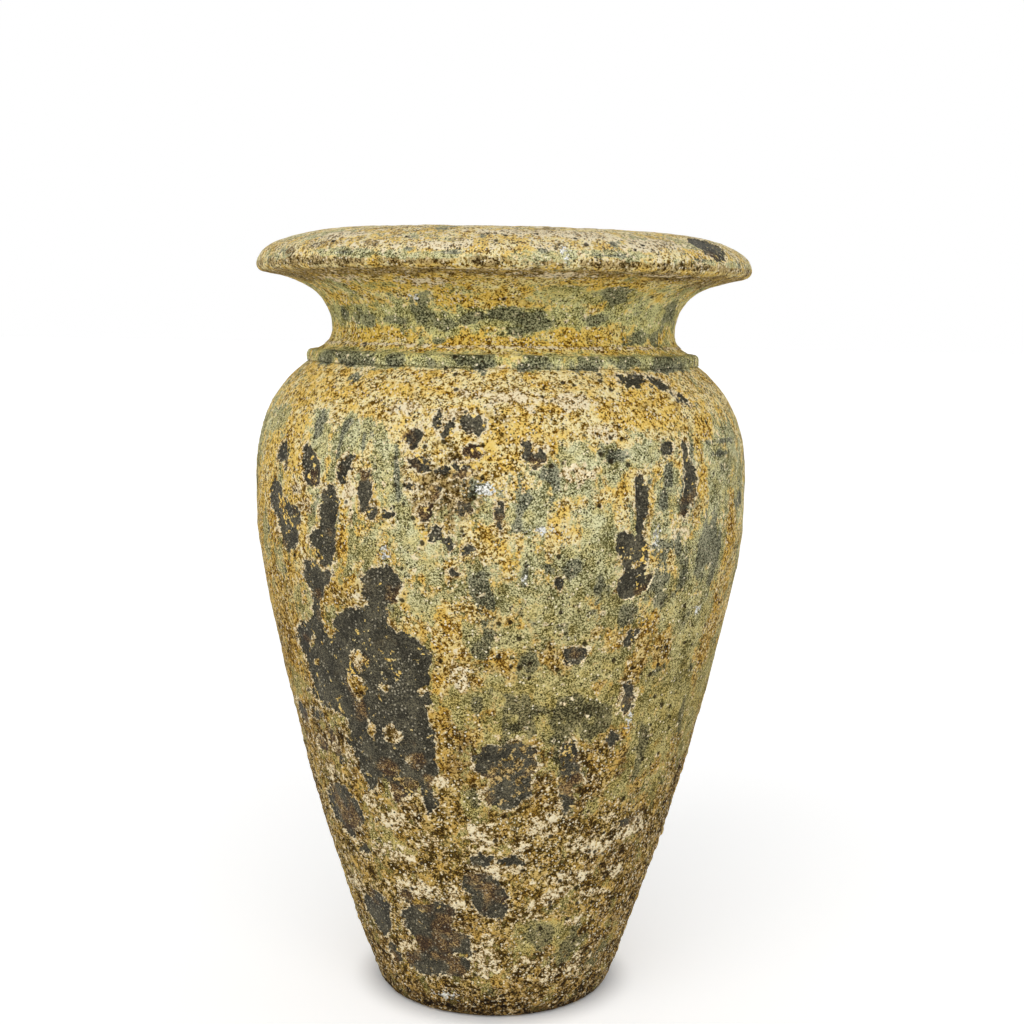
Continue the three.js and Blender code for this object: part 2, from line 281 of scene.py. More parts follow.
BODY_PATCHES = {
    # Flakes that show the dark clay
    "flaked": [
        [(-57.5, 402), (-52.5, 416), (-47.5, 424), (-46.5, 452), (-44.6, 452), (-44.3, 430), (-43.5, 407),
         (-41, 409), (-40, 428), (-36, 438), (-29, 445), (-28, 455), (-25.2, 452), (-25, 428), (-20, 420),
         (-15, 402), (-16.5, 375), (-16.2, 358), (-17, 347), (-16, 318), (-16.5, 300), (-16, 284),
         (-18, 268), (-16.5, 246), (-19.5, 236), (-21, 262), (-24.5, 250), (-29, 247), (-30.5, 264),
         (-33.5, 268), (-36, 252), (-38.5, 254), (-39, 276), (-42.5, 301), (-40.5, 309), (-41.5, 322),
         (-46, 331), (-57.5, 340), (-53.5, 348), (-53.3, 360), (-56, 386)],
        [(-28, 482), (-25.5, 485), (-24, 490), (-23, 484), (-21.3, 476), (-21, 468), (-22, 456), (-24, 448),
         (-28, 444), (-30, 452), (-30.3, 465), (-30, 475)],
        [(-47, 482), (-44.5, 480), (-43, 477), (-42.5, 470), (-40, 475), (-38.5, 474), (-39.5, 465),
         (-41, 460), (-43, 448), (-45, 445), (-46.5, 450), (-48, 458), (-48.5, 468), (-47.8, 478)],
        [(-39.5, 556), (-38, 556), (-36.3, 542), (-36, 532), (-37, 520), (-37.2, 500), (-38, 486),
         (-39.5, 479), (-41.5, 478), (-42, 486), (-45.5, 503), (-44, 510), (-42.3, 516), (-41.5, 528),
         (-41, 545)],
        [(-62, 550), (-60, 553), (-57, 550), (-56, 540), (-53, 534), (-49.7, 531), (-49.2, 520),
         (-49.5, 500), (-51, 490), (-53.5, 487), (-56, 494), (-57.5, 508), (-59.5, 520), (-62.5, 530),
         (-63, 540)],
        [(-47.5, 592), (-45, 585), (-42.8, 574), (-41.8, 557), (-44, 553), (-46.5, 555), (-47.8, 566),
         (-48.2, 580)],
        [(-57.5, 594), (-55, 592), (-54, 580), (-54.5, 567), (-56, 575), (-59.5, 576), (-59, 584)],
        [(-34, 587), (-32.8, 584), (-33.5, 577), (-35, 562), (-36, 561), (-36.3, 568), (-36.2, 578)],
        [(-30.3, 573), (-28.5, 572), (-28, 562), (-27.8, 552), (-29.5, 537), (-30.5, 545), (-31.3, 553)],
        [(30, 577), (31, 570), (32.3, 560), (32, 548), (31.5, 530), (31.3, 510), (30.3, 500), (29.6, 515),
         (29, 555)],
        [(25.5, 516), (28.5, 518), (29.5, 505), (28.5, 493), (26, 494), (25, 505)],
        [(27, 486), (31, 486), (34.5, 478), (34, 466), (31, 458), (27.5, 457), (26, 466), (26.5, 478)],
        [(43, 603), (44.3, 600), (44.8, 582), (46.4, 572), (46.6, 552), (45.6, 541), (44.6, 548),
         (43.2, 527), (42, 532), (42.2, 552), (43.4, 572), (42.8, 588)],
        [(26, 519), (28.5, 521), (30, 512), (32.8, 508), (33, 495), (32, 484), (33.5, 474), (27, 474),
         (26, 490)],
        [(4.2, 603), (7, 602), (9, 592), (8, 583), (6.5, 579), (5, 590)],
        [(-9.5, 632), (-7, 629), (-4.3, 623), (-4, 616), (-5, 609), (-7, 610), (-8.5, 617), (-9.8, 624)],
        [(-11.5, 626), (-10, 625), (-10.3, 617), (-11.5, 606), (-12.8, 603), (-12.5, 612)],
        [(14.5, 410), (17, 413), (20, 408), (19.5, 400), (17.5, 396), (15.5, 400)],
        [(28.5, 415), (31, 424), (33, 423), (32.5, 417), (31, 411), (29, 410)],
        [(31.2, 372), (33.5, 370), (35, 360), (34.8, 345), (33, 337), (32, 345), (31.5, 358)],
        [(-49, 133), (-47, 134), (-43, 128), (-40.5, 122), (-41, 112), (-43, 93), (-45, 84), (-48, 79),
         (-50, 78), (-53, 86), (-55.5, 96), (-57.5, 106), (-56, 118), (-53.5, 121), (-50.5, 120),
         (-49.5, 127)],
        [(-61, 228), (-57, 240), (-52, 246), (-47, 243), (-44, 232), (-42, 215), (-44, 207), (-48, 200),
         (-50, 190), (-53, 190), (-57, 196), (-61, 205)],
        [(-36, 112), (-32, 124), (-25, 130), (-19, 139), (-14, 135), (-13.5, 124), (-16, 112), (-15, 104),
         (-12, 101), (-9, 101), (-8, 92), (-9, 80), (-13, 81), (-16, 80), (-15, 72), (-11, 73), (-9, 62),
         (-13, 50), (-20, 50), (-26, 47), (-32, 46), (-37, 54), (-38, 64), (-34, 70), (-31, 77), (-30, 88),
         (-33, 98)],
        [(-10, 166), (-7, 173), (-3, 174), (0, 166), (3, 158), (4, 142), (5.5, 135), (4, 124), (0, 122),
         (-4, 128), (-7, 140), (-8, 150), (-10.5, 155)],
        (-19, 609, 7, 9), (-14, 621, 5, 7), (-27.5, 534, 6, 4), (-24, 533, 6, 6), (38, 597, 7, 6),
        (-15.5, 537, 5, 7), (-13.2, 520, 5, 6), (-7.5, 543, 8, 9), (30.5, 313, 6, 6), (-4.5, 189, 9, 6),
        (-17, 581, 9, 6), (-9, 578, 12, 4), (-44, 62, 8, 9), (43, 217, 14, 5), (-46, 180, 6, 4),
        (-31, 138, 6, 6), (-10.5, 510, 4, 5), (-6.5, 506, 5, 5), (-18.5, 560, 5, 5), (-6, 595, 6, 5),
        (-13.5, 559, 5, 6), (0, 540, 4, 9), (12.5, 475, 4, 4), (-9.5, 482, 5, 5), (-66, 312, 16, 10, -20),
        (34.5, 660, 14, 4), (44, 654, 13, 4, -15), (48.5, 643, 13, 5, -30), (-55, 318, 10, 6),
        (-50, 300, 8, 10), (-48, 280, 6, 9), (-56, 285, 9, 7), (5, 188, 8, 5),
        [(-6, 300), (-2, 313), (5, 318), (10, 309), (10.5, 292), (9, 279), (9.5, 266), (6.5, 251), (2, 247),
         (-2.5, 251), (-5, 262), (-1, 272), (-4.5, 285)],
        [(16.5, 314), (19.5, 316), (20.5, 298), (22.5, 287), (23.5, 275), (21, 264), (21.5, 246),
         (19.5, 238), (18.5, 256), (16.5, 268), (17, 288)],
    ],
    # Crust that is left inside the flakes
    "islands": [
        [(-36.5, 398), (-33, 400), (-31.5, 393), (-33, 383), (-33.5, 375), (-36, 377), (-37, 390)],
        [(-38.5, 375), (-35, 375), (-33, 368), (-33.5, 357), (-36, 347), (-38, 355)],
        [(-29.5, 322), (-26.5, 330), (-25, 322), (-24, 314), (-27, 306), (-30, 308)],
        (-33, 318, 5, 8), (-27.5, 365, 8, 5), (-50, 398, 10, 3, 40), (-50, 377, 5, 4), (-33.5, 257, 5, 6),
        (-23.5, 292, 4, 4), (-18, 366, 4, 4), (7.3, 597, 4, 4), (30, 488, 6, 4),
    ],
    # Places where much crust is left in a flake
    "crumbled": [
        (-28, 260, 34, 18), (-56, 520, 24, 30), (-36, 375, 12, 30), (-52, 215, 24, 24), (30, 490, 24, 14),
        (-8, 560, 40, 50), (2, 283, 34, 44), (19, 290, 14, 40), (-52, 295, 40, 40),
    ],
    # Glaze that the crust has left bare, or nearly
    "worn": [
        [(-48.5, 625), (-43, 627), (-41.5, 612), (-41, 590), (-40, 572), (-42, 565), (-45, 598),
         (-49, 612)],
        [(-38, 628), (-33, 632), (-28, 622), (-25, 605), (-20.8, 585), (-20.5, 550), (-17.5, 520),
         (-18, 440), (-20, 470), (-23, 540), (-27.5, 545), (-27.5, 598), (-33, 590), (-36, 592),
         (-37, 612)],
        [(-39.5, 600), (-37.5, 600), (-37, 572), (-37.5, 560), (-39.5, 562)],
        [(10.5, 585), (14, 597), (26, 602), (37, 602), (37, 588), (33, 582), (28, 580), (24, 560),
         (12, 548)],
        [(50, 600), (66, 615), (70, 600), (64, 575), (62, 545), (58, 528), (54, 525), (51, 560)],
        [(44, 440), (47, 505), (52, 524), (58, 515), (59, 490), (57, 440), (55, 380), (60, 330), (52, 270),
         (46, 330)],
        [(2, 525), (1.5, 545), (4, 562), (8, 566), (11, 550), (8, 530)],
        [(17, 505), (18, 545), (23, 548), (24, 520), (27, 470), (24, 440), (20, 455)],
        (-67, 618, 40, 26), (-53, 548, 6, 10), (-44.5, 520, 5, 9), (-33, 530, 5, 26), (-28.5, 503, 8, 11),
        (-67, 498, 14, 16), (-14, 468, 8, 34), (-5, 476, 14, 14), (5.5, 482, 6, 20), (15, 490, 14, 20),
        (27, 614, 14, 9), (38.5, 557, 12, 18), (40, 455, 24, 26), (12, 440, 36, 24), (4, 425, 24, 14),
        (24, 388, 24, 12), (-10, 360, 20, 16), (-5, 412, 10, 10), (4, 362, 30, 32), (20, 350, 34, 26),
        (44, 305, 34, 60), (62, 632, 40, 22), (-64, 345, 24, 12), (-34, 197, 34, 18), (16, 104, 26, 24),
        (28, 90, 20, 24), (70, 560, 20, 30), (-7, 255, 9, 12), (66, 330, 20, 60), (-13, 538, 10, 10),
        (-76, 600, 16, 60),
    ],
    # Thick gold crust
    "thick": [
        (-66, 400, 46, 70), (-72, 520, 40, 50), (-52, 560, 20, 30), (-53, 608, 14, 24), (-60, 505, 14, 20),
        (-47.5, 508, 8, 28), (-35, 540, 5, 50), (-35, 462, 22, 18), (-12, 585, 34, 50), (0, 610, 40, 20),
        (-12, 420, 12, 20), (-10, 390, 20, 20), (-62, 545, 14, 36), (12, 515, 20, 14), (64, 497, 20, 40),
        (49, 580, 9, 24), (34, 500, 12, 14), (-4, 515, 16, 16), (8, 395, 36, 14), (40, 400, 24, 30),
        (28, 290, 24, 14), (-44, 425, 9, 24), (22, 625, 60, 20), (-20, 640, 90, 18), (64, 420, 20, 40),
        (54, 612, 18, 14), (25, 548, 10, 14), (-14, 320, 14, 70), (34, 630, 44, 20), (-2, 440, 40, 10),
    ],
    # Orange tints in the crust
    "rusty": [
        (-60, 540, 60, 110), (-38, 500, 50, 60), (-53, 608, 14, 24), (-47, 641, 40, 8), (-24, 647, 24, 9),
        (-35, 540, 5, 50), (-47.5, 508, 8, 28), (-35, 462, 18, 18), (-66, 390, 46, 60), (-64, 455, 44, 26),
        (36, 632, 40, 18), (49, 580, 10, 24), (54, 612, 18, 14), (64, 497, 20, 28), (66, 555, 20, 18),
        (24, 550, 9, 12), (13, 547, 8, 8), (31, 495, 9, 6), (28, 290, 24, 12), (42, 363, 7, 7),
        (12, 260, 9, 10), (-62, 290, 14, 9), (-14, 330, 10, 50), (62, 415, 20, 20), (-42, 245, 24, 16),
        (-36, 370, 10, 26), (0, 615, 20, 14), (-55, 265, 40, 8), (32, 322, 8, 6), (-8, 70, 20, 26),
        (40, 130, 30, 40), (-2, 590, 20, 10), (-46, 60, 30, 40),
    ],
    # Dark smears in the glaze
    "smeared": [
        [(47.5, 500), (50, 510), (51.5, 508), (51, 470), (49, 468), (47.5, 485)],
        [(53.5, 518), (56, 515), (58.5, 505), (59, 490), (57.5, 470), (55.5, 448), (54.2, 460),
         (54.2, 490)],
        [(41.5, 575), (43, 592), (45, 595), (45, 580), (46, 565), (46, 540), (44.5, 535), (42, 528),
         (40.5, 540), (41, 555)],
        [(14, 363), (18, 367), (22, 359), (26, 351), (29, 336), (28, 321), (24, 316), (20, 321), (16, 319),
         (12.5, 326), (12, 336), (13, 349)],
        [(0, 350), (2, 367), (6, 371), (9, 365), (10, 352), (9, 340), (10, 325), (7, 328), (2, 326),
         (0.5, 336)],
        [(3, 404), (6, 408), (9.5, 400), (10, 390), (7, 382), (4, 386), (2.5, 395)],
        [(40, 320), (43, 325), (45, 310), (44.5, 295), (43, 262), (41, 260), (40.5, 280), (39, 295)],
        [(55, 325), (57, 342), (59, 325), (60.5, 310), (60, 298), (57, 300), (55.5, 310)],
        [(8, 583), (10.5, 577), (12, 562), (11.2, 549), (10, 552), (10.2, 564), (8.8, 574)],
        [(5.5, 558), (7, 556), (4.5, 538), (2.5, 522), (1.5, 526), (3.5, 542)],
        [(-4, 318), (0, 320), (3, 317), (9, 310), (10.5, 300), (10.5, 285), (9.5, 270), (8, 258), (5, 250),
         (3, 254), (1, 270), (-1, 283), (0, 290), (-3, 303)],
        [(11, 325), (14, 327), (18, 325), (20, 315), (20.5, 300), (22, 290), (24.5, 283), (24, 272),
         (21.5, 262), (22, 250), (22.5, 232), (20, 226), (18, 255), (16, 268), (16, 285), (15, 310),
         (12, 314)],
        (-44.5, 612, 9, 14), (-36.3, 608, 4, 20, -12), (-30.5, 592, 3, 24, 4), (-22, 572, 3, 24, 3),
        (36.5, 549, 7, 10), (34.5, 660, 18, 5), (45, 653, 18, 5), (48.7, 641, 15, 7, -20),
        (-14, 606, 10, 9), (-15, 590, 6, 8), (-13, 558, 8, 10), (-4, 562, 14, 9), (-5, 356, 8, 12),
        (-4, 412, 9, 12), (-2, 442, 9, 18), (-4, 468, 9, 22), (41.5, 384, 9, 9), (60, 599, 26, 3),
        (58, 588, 20, 3), (70, 536, 14, 9), (5.5, 482, 4, 16), (15.5, 487, 10, 12), (-6.5, 255, 9, 10),
        (25, 592, 14, 6), (16, 100, 18, 20), (30, 92, 12, 22), (45, 62, 30, 16), (-12, 655, 8, 5),
        (-41, 656, 14, 5), (-45, 647, 16, 4), (28, 440, 12, 14), (37, 482, 8, 8), (-1, 515, 5, 8),
        (38, 470, 16, 10), (36, 500, 14, 12), (22, 470, 9, 14), (43.5, 560, 10, 26), (44, 540, 8, 14),
        (41, 505, 8, 16), (44, 480, 8, 18), (38, 450, 14, 12), (52, 500, 16, 28), (38, 572, 6, 18),
        # Collar
        (-50, 675, 48, 11), (-30, 674, 16, 7), (-9, 675, 30, 10), (9, 675, 18, 8), (21, 675, 26, 10),
        (54, 675, 44, 11), (36, 675, 16, 7),
    ],
    # Brown, dirty crust
    "browned": [
        (-54, 292, 50, 34), (-28, 272, 30, 24), (5, 282, 40, 36), (22, 268, 20, 36), (-20, 88, 46, 46),
        (-4, 155, 20, 34), (40, 60, 80, 50), (0, 18, 300, 20), (-60, 60, 40, 50), (46, 190, 50, 30),
        (-52, 220, 30, 30), (70, 200, 26, 80), (-36, 350, 10, 12), (64, 120, 40, 60), (-24, 240, 20, 12),
        (-75, 230, 20, 60), (27, 268, 9, 8), (-8, 300, 16, 40), (-12, 560, 40, 40), (38, 275, 14, 20),
        (46, 364, 8, 8), (53, 358, 8, 10),
    ],
    # Pale lumps of crust
    "pale": [
        (-4, 214, 16, 20), (14, 231, 17, 17), (3, 184, 22, 12), (-14, 144, 14, 11), (-27, 150, 34, 10),
        (-36, 75, 24, 5), (-33.5, 545, 6, 26), (-50, 550, 10, 10), (-9, 385, 12, 18), (8.8, 597, 4, 8),
        (-38.5, 240, 9, 12), (30, 200, 34, 10), (-3, 75, 16, 24), (30.7, 360, 4, 18), (31, 497, 8, 8),
        (36, 60, 10, 14), (46, 205, 22, 7), (35, 228, 9, 7), (-30, 225, 24, 10), (-54, 258, 20, 8),
        (-42, 290, 8, 14), (-58, 130, 20, 12), (24, 165, 30, 8), (-14, 274, 8, 7), (-27, 318, 9, 10),
        (-34.2, 388, 6, 9), (-8, 645, 16, 6), (16, 640, 24, 10), (-46, 438, 4, 16), (-30, 453, 20, 3),
        (-59, 508, 6, 12), (-47, 533, 14, 7), (-12, 620, 20, 10), (-22, 630, 16, 7), (42, 517, 14, 7),
        (-5, 290, 6, 5), (2, 640, 26, 12), (16, 575, 20, 10), (22, 612, 16, 8), (20, 146, 26, 7, 20),
        (10, 122, 18, 7), (36, 140, 16, 8), (30, 112, 12, 7), (12, 66, 14, 8), (44, 160, 14, 9),
        (24, 50, 10, 10), (8, 205, 12, 9), (-20, 205, 14, 8), (-34, 186, 28, 10),
    ],
    # White lime
    "limed": [
        (-3, 561, 9, 6), (8.5, 524, 8, 3), (35, 516, 3, 7), (34.8, 331, 3, 5), (-24.5, 494, 3, 6),
        (52, 435, 4, 4), (5.5, 481, 2, 3), (-21, 24, 8, 3),
    ],
    # Places with many deep pits
    "pitted": [
        (0, 388, 66, 22), (38, 400, 40, 40), (50, 415, 40, 30), (-8, 655, 60, 10), (25, 655, 60, 12),
        (30, 160, 60, 60), (10, 440, 40, 20), (20, 600, 40, 20), (46, 330, 30, 40), (-14, 400, 12, 20),
        (-12, 560, 40, 50),
    ],
}

# Above the collar the level is the distance along the skin from the edge of the rim, up over the
# dome or down under it, and a spot this wide reaches all around
FULL_RING = 2000
TOP_PATCHES = {
    "flaked": [(54.5, 28, 26, 20, 20)],
    "islands": [],
    "crumbled": [],
    "worn": [
        (-60, -95, 40, 14), (-30, -95, 40, 16), (8, -98, 60, 12), (24, -72, 50, 12), (40, -88, 40, 16),
        (60, -95, 40, 20), (-20, -112, 20, 8), (-34, 7, 40, 3), (20, 7, 50, 3), (-24, 32, 24, 9),
        (44, 26, 20, 14),
    ],
    "thick": [
        (-5, -82, 40, 10), (-42, -114, 40, 6), (20, -111, 34, 6), (26, -88, 20, 6), (-60, -82, 36, 8),
        (-2, -62, 24, 10), (-66, -112, 26, 10), (0, -122, 60, 4), (66, -108, 20, 8), (-38, 22, 40, 9),
        (2, 20, 26, 7), (-4, 44, 90, 10), (46, 12, 14, 5), (14, 30, 20, 10),
    ],
    "rusty": [
        (-5, -82, 50, 14), (-42, -114, 50, 9), (20, -111, 50, 9), (26, -62, 60, 14), (-60, -82, 40, 12),
        (0, -122, 80, 5), (-38, 22, 40, 9), (46, 12, 24, 6), (66, -108, 24, 10), (-30, -60, 60, 10),
        (0, 32, 60, 9), (-24, 40, 50, 10), (26, 16, 40, 7), (40, 36, 30, 10), (-62, 30, 30, 10),
        (0, -24, FULL_RING, 14),
    ],
    "smeared": [
        # Neck
        (-48, -97, 18, 10), (-36, -101, 12, 4), (-26, -78, 12, 7), (-26, -96, 12, 14), (-19, -122, 8, 4),
        (-10, -98, 18, 6, 12), (1, -94, 20, 7), (9, -99, 20, 8), (3, -108, 12, 8), (-16, -105, 9, 6),
        (32, -67, 18, 8), (36, -76, 14, 7), (48, -116, 32, 9), (42, -119, 16, 5), (12, -119, 7, 3),
        (-62, -96, 12, 8), (30, -97, 14, 6), (64, -90, 18, 12),
        # Rim
        (-30, 34, 8, 5), (8, 10, 8, 4), (-38, 6, 20, 2), (-12, 6, 24, 2), (24, 6, 24, 2), (48, 5, 24, 2),
        (24, 22, 7, 6), (-5, 30, 5, 7), (-20, 10, 8, 3), (-64, 4, 20, 3), (66, 4, 18, 5), (54, 22, 18, 14),
        (57, 40, 18, 12),
    ],
    "browned": [
        (-30, 18, 10, 5), (-10, 22, 12, 4), (12, 16, 8, 5), (-55, 10, 14, 5), (0, -24, FULL_RING, 14),
        # The last ring, along the edge of the rim, is painted shade where the skin turns under
        (-46, 16, 15, 6), (-66, -30, 50, 26), (66, -36, 40, 26), (0, -1, FULL_RING, 4),
    ],
    "pale": [
        # The first, a ring along the top edge of the collar, is a painted highlight
        (0, -127, FULL_RING, 2), (-20, -52, 26, 10), (-46, -44, 30, 10), (12, -30, 40, 8), (30, 18, 20, 6),
        (-14, 14, 30, 4), (40, -20, 40, 6), (-8, -12, 60, 3), (10, 40, 60, 8), (-40, 34, 30, 8),
        (34, 24, 30, 9), (20, 30, 24, 6),
    ],
    "limed": [(12.3, 9, 2, 4), (-27, -76, 3, 2)],
    "pitted": [(20, 20, 50, 14), (-30, 20, 60, 14), (0, 28, 60, 14)],
}

# The far side and the top of the rim, drawn at random from fixed seeds
FAR_SIDE = (80, 280)
ALL_AROUND = (-180, 180)
DEGREES_PER_MM = 0.26
FEWEST_CORNERS, MOST_CORNERS = 8, 14
SHORTEST_REACH, LONGEST_REACH = 0.4, 1.1
SIZE_SKEW = 1.8


def scattered(azimuths, seed, count, across, up, levels):
    """Ragged outlines from a seeded draw, between two azimuths and two levels."""
    draw = random.Random(seed)
    found = []
    for _ in range(count):
        azimuth = draw.uniform(*azimuths)
        level = draw.uniform(*levels)
        size = draw.random() ** SIZE_SKEW
        half_across = across[0] + (across[1] - across[0]) * size
        half_up = up[0] + (up[1] - up[0]) * size
        corners = draw.randint(FEWEST_CORNERS, MOST_CORNERS)
        outline = []
        for corner in range(corners):
            angle = 2 * math.pi * corner / corners
            reach = draw.uniform(SHORTEST_REACH, LONGEST_REACH)
            sideways = half_across * reach * math.cos(angle) * DEGREES_PER_MM
            outline.append((azimuth + sideways, level + half_up * reach * math.sin(angle)))
        found.append(outline)
    return found


# What is drawn: kind, seed, count, least and greatest half size across and up, and levels
BODY_DRAWS = [
    ("flaked", 11, 34, (7, 48), (9, 64), (50, 640)),
    ("islands", 12, 14, (4, 9), (4, 12), (60, 640)),
    ("crumbled", 27, 16, (14, 44), (16, 44), (50, 640)),
    ("worn", 13, 26, (18, 40), (26, 70), (250, 640)),
    ("thick", 18, 22, (14, 40), (16, 60), (250, 640)),
    ("rusty", 28, 26, (8, 40), (10, 40), (40, 660)),
    ("smeared", 14, 44, (8, 28), (12, 56), (60, 680)),
    ("browned", 19, 16, (14, 44), (16, 44), (20, 320)),
    ("pale", 15, 26, (8, 30), (8, 22), (40, 660)),
    ("limed", 16, 8, (2, 6), (2, 6), (60, 640)),
    ("pitted", 17, 8, (20, 50), (14, 30), (60, 660)),
]
TOP_DRAWS = [
    ("flaked", 21, 4, (8, 20), (5, 10), (4, 40)),
    ("smeared", 22, 26, (8, 24), (3, 10), (-125, 50)),
    ("worn", 23, 18, (16, 40), (6, 16), (-125, 50)),
    ("thick", 24, 18, (16, 40), (5, 12), (-125, 50)),
    ("rusty", 26, 16, (16, 40), (5, 12), (-125, 50)),
    ("pale", 25, 8, (12, 40), (3, 8), (-60, 30)),
]
CROWN_DRAWS = [
    ("worn", 31, 22, (14, 50), (6, 16), (14, 100)),
    ("rusty", 32, 26, (14, 50), (6, 14), (14, 100)),
    ("browned", 33, 18, (8, 26), (4, 10), (30, 100)),
    ("smeared", 34, 14, (8, 26), (4, 10), (40, 100)),
]
for patches_there, azimuths_there, draws in (
    (BODY_PATCHES, FAR_SIDE, BODY_DRAWS),
    (TOP_PATCHES, FAR_SIDE, TOP_DRAWS),
    (TOP_PATCHES, ALL_AROUND, CROWN_DRAWS),
):
    for kind, *how in draws:
        patches_there[kind] += scattered(azimuths_there, *how)

# How much crust lies where no patch changes it, by level: 0 is half covered
BODY_CRUST = [
    (0, 0.6), (230, 0.6), (280, 0.2), (350, 0.0), (520, 0.0), (610, 0.25), (632, 0.9), (664, 0.8),
    (670, -0.4),
]
TOP_CRUST = [
    (-144, -0.2), (-128, 0.7), (-116, 0.3), (-100, -0.2), (-84, 0.2), (-70, 0), (-54, 0.3), (-40, 0.8),
    (-2, 0.8), (3, 0.1), (9, 0.3), (16, 0.45), (36, 0.3), (90, 0.3),
]

# Where vertices lie: azimuth in degrees, level as in the patches, and radius
Places = namedtuple("Places", "azimuth level radius")

# How patches become values on the vertices: limits and margins in millimetres, and shares
FAR_OUTSIDE = -60.0
TINY = 1e-9
FLAKE_DEPTHS = (-14, 9)
LIME_DEPTHS = (-8, 8)
THICK_CRUST_ADDS = 0.7
WORN_CRUST_LOSES = 0.8
ISLAND_CRUST_ADDS = 1.0
RAW_CLAY_STARTS = 20
RAW_CLAY_FADES_IN = 70
OUTLINE_MARGIN = 16
SPOT_MARGIN = 4
SPOT_REACH = 2.6
OUTLINE_EDGE = 9
SOFT_KINDS = ("crumbled", "rusty", "smeared", "browned", "pitted")
SOFTNESS = 0.6
PALE_SOFTNESS = 0.45
RELIEF_STARTS_OVER = 8


def across_from(places, centre):
    """Distance around the vase from an azimuth."""
    return np.radians((places.azimuth - centre + 180) % 360 - 180) * places.radius


def depth_in_spot(spot, places):
    """How far inside a spot each vertex lies, in millimetres; negative outside."""
    centre, level, across, up, *tilt = spot
    angle = math.radians(sum(tilt))
    cosine, sine = math.cos(angle), math.sin(angle)
    sideways, upward = across_from(places, centre), places.level - level
    shares = (sideways * cosine + upward * sine) / across, (upward * cosine - sideways * sine) / up
    return (1 - np.hypot(*shares)) * min(across, up)


def depth_in_outline(corners, places):
    """How far inside an outline each vertex lies, in millimetres; negative outside."""
    middle = corners[0][0]
    across, radius = across_from(places, middle), places.radius
    nearest = np.full(across.shape, -FAR_OUTSIDE)
    inside = np.zeros(across.shape, bool)
    for (start_azimuth, start_up), (end_azimuth, end_up) in zip(corners, corners[1:] + corners[:1]):
        start_across = np.radians(start_azimuth - middle) * radius
        side_across = np.radians(end_azimuth - start_azimuth) * radius
        side_up = end_up - start_up
        from_across, from_up = across - start_across, places.level - start_up
        share = (from_across * side_across + from_up * side_up) / (side_across**2 + side_up**2 + TINY)
        share = np.clip(share, 0, 1)
        nearest = np.minimum(nearest, np.hypot(from_across - share * side_across, from_up - share * side_up))
        if side_up:
            spans = (start_up > places.level) != (end_up > places.level)
            inside ^= spans & (from_across < side_across * from_up / side_up)
    return np.where(inside, nearest, -nearest)


def window(patch):
    """The middle azimuth of a patch, its reach in degrees and in millimetres around, and its levels."""
    if isinstance(patch, list):
        azimuths, levels = zip(*patch)
        middle = (min(azimuths) + max(azimuths)) / 2
        low, high = min(levels) - OUTLINE_MARGIN, max(levels) + OUTLINE_MARGIN
        return middle, max(azimuths) - middle, OUTLINE_MARGIN, low, high
    reach = SPOT_REACH * max(patch[2:4]) + SPOT_MARGIN
    return patch[0], 0, reach, patch[1] - reach, patch[1] + reach


def laid(patches, places, outside, measure):
    """The greatest measure of the patches at each vertex, each worked out only around itself."""
    best = np.full(len(places.level), outside)
    lowest, highest = places.level.min(), places.level.max()
    for patch in patches:
        middle, degrees, reach, low, high = window(patch)
        if low > highest or high < lowest:
            continue
        near = np.abs(across_from(places, middle)) < math.radians(degrees) * places.radius + reach
        near &= (places.level > low) & (places.level < high)
        if near.any():
            best[near] = np.maximum(best[near], measure(patch, Places(*(values[near] for values in places))))
    return best


def depth_in_patch(patch, places):
    return (depth_in_outline if isinstance(patch, list) else depth_in_spot)(patch, places)


def depth_in(patches, places):
    """How far inside the patches each vertex lies, in millimetres; negative outside."""
    return laid(patches, places, FAR_OUTSIDE, depth_in_patch)


def softly(patches, places, softness=SOFTNESS):
    """1 well inside the patches and 0 well outside, with a soft edge."""

    def share(patch, near):
        edge = softness * (OUTLINE_EDGE if isinstance(patch, list) else min(patch[2:4]))
        return np.clip(0.5 + depth_in_patch(patch, near) / (2 * edge), 0, 1)

    return laid(patches, places, 0.0, share)


def weathering(name, azimuth, height, radius, run):
    """The control fields of a ring's skin, one value for each vertex."""
    on_top = name in RINGS_ABOVE_COLLAR
    patches = TOP_PATCHES if on_top else BODY_PATCHES
    places = Places(azimuth, run - EDGE_RUN if on_top else height, radius)
    islands = depth_in(patches["islands"], places)
    levels, amounts = zip(*(TOP_CRUST if on_top else BODY_CRUST))
    crusted = np.interp(places.level, levels, amounts)
    crusted += THICK_CRUST_ADDS * softly(patches["thick"], places)
    crusted -= WORN_CRUST_LOSES * softly(patches["worn"], places)
    crusted += ISLAND_CRUST_ADDS * (islands > 0)
    underneath = run < section.end["standing"]
    down_the_mouth = (run - CROWN_RUN - RAW_CLAY_STARTS) / RAW_CLAY_FADES_IN
    flaked = np.minimum(depth_in(patches["flaked"], places), -islands)
    return {
        **{kind: softly(patches[kind], places) for kind in SOFT_KINDS},
        "flaked": np.clip(flaked, *FLAKE_DEPTHS),
        "crusted": crusted,
        "pale": softly(patches["pale"], places, PALE_SOFTNESS),
        "limed": np.clip(depth_in(patches["limed"], places), *LIME_DEPTHS),
        "raw": np.where(underneath, 1, np.clip(down_the_mouth, 0, 1)),
        "relief": relief_amount(run),
    }


def relief_amount(run):
    """How much of the relief a place takes: all of it outside, little inside, none underneath."""
    stops = [
        (section.end["standing"], 0),
        (section.end["foot"] + RELIEF_STARTS_OVER, 1),
        (CROWN_RUN, 1),
        (CROWN_RUN + MOUTH_SHOWS, 0.5),
        (section.end["gullet"], 0.35),
        (section.end["fillet"], 0.3),
        (section.end["floor"], 0.2),
    ]
    return np.interp(run, *zip(*stops))


# Meshes of the rings


